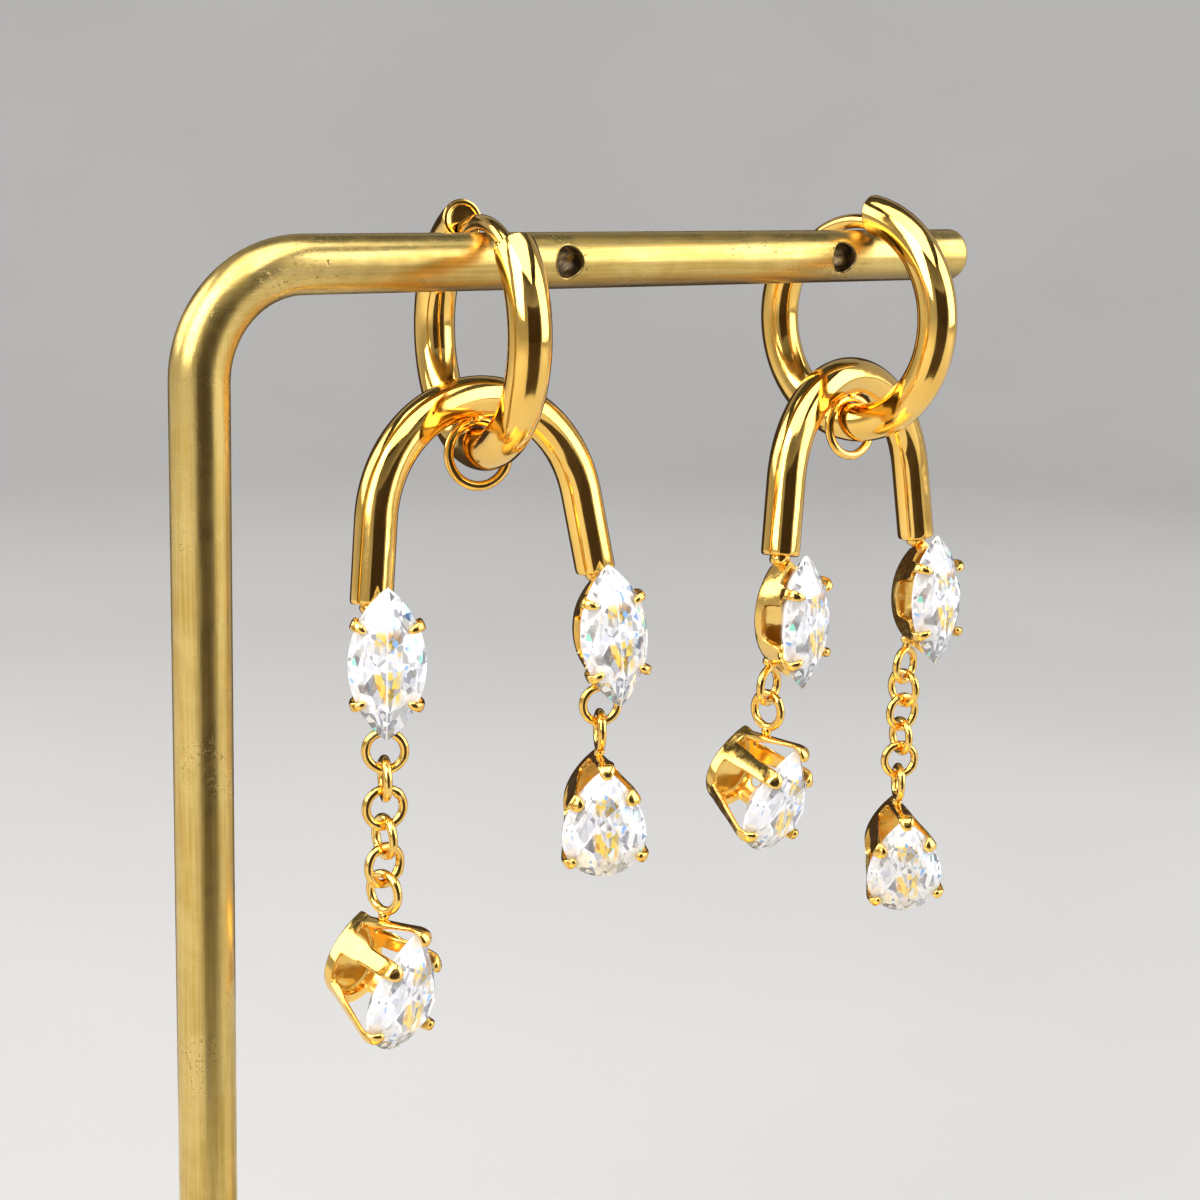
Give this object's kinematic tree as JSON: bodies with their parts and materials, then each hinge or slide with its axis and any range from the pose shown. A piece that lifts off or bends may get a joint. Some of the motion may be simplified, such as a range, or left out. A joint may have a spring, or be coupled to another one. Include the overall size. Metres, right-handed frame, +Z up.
{
  "type": "pair of huggie drop earrings on a brass display stand",
  "caption": "Gold huggie hoops with horseshoe arches, marquise and pear stones on chain drops, hung over the arm of a plain brass display stand.",
  "frame": {"origin": "middle of the stand's base, on the surface it stands on", "axes": "+Z up along the post, +X along the arm from the post to its free end, -Y the side the stones face"},
  "size_m": [0.09, 0.048, 0.1045],
  "materials": {
    "gold": "gold plated, mirror polished",
    "stand_brass": "satin, lightly tarnished and scuffed",
    "zirconia": "clear, brilliant faceted"
  },
  "bodies": {
    "stand_and_hoops": {"stand_rod": "stand_brass", "stand_base": "stand_brass", "hoop_left": "gold", "hoop_right": "gold"},
    "post_left": {"ear_post_left": "gold"},
    "post_right": {"ear_post_right": "gold"},
    "drop_left": {"arch_left": "gold", "marquise_long_left": "zirconia", "pear_cup_long_left": "gold", "pear_long_left": "zirconia", "chain_left": "gold", "marquise_short_left": "zirconia", "pear_cup_short_left": "gold", "pear_short_left": "zirconia"},
    "drop_right": {"arch_right": "gold", "marquise_long_right": "zirconia", "pear_cup_long_right": "gold", "pear_long_right": "zirconia", "chain_right": "gold", "marquise_short_right": "zirconia", "pear_cup_short_right": "gold", "pear_short_right": "zirconia"}
  },
  "joints": [
    {"name": "post_left_hinge", "type": "hinge", "parent": "stand_and_hoops", "child": "post_left", "pos_m": [-0.01152, -0.00415, 0.10105], "axis": [0.9895, -0.1444, 0], "range_deg": [0, 60]},
    {"name": "post_right_hinge", "type": "hinge", "parent": "stand_and_hoops", "child": "post_right", "pos_m": [0.02099, 0.00524, 0.09986], "axis": [-0.993, -0.1184, 0], "range_deg": [0, 60]},
    {"name": "drop_left_swing", "type": "hinge", "parent": "stand_and_hoops", "child": "drop_left", "pos_m": [-0.0109, 0.0001, 0.08773], "axis": [-0.1444, -0.9895, 0], "range_deg": [-10, 7]},
    {"name": "drop_right_swing", "type": "hinge", "parent": "stand_and_hoops", "child": "drop_right", "pos_m": [0.02164, -0.00025, 0.08774], "axis": [0.1184, -0.993, 0], "range_deg": [-7, 25]}
  ]
}
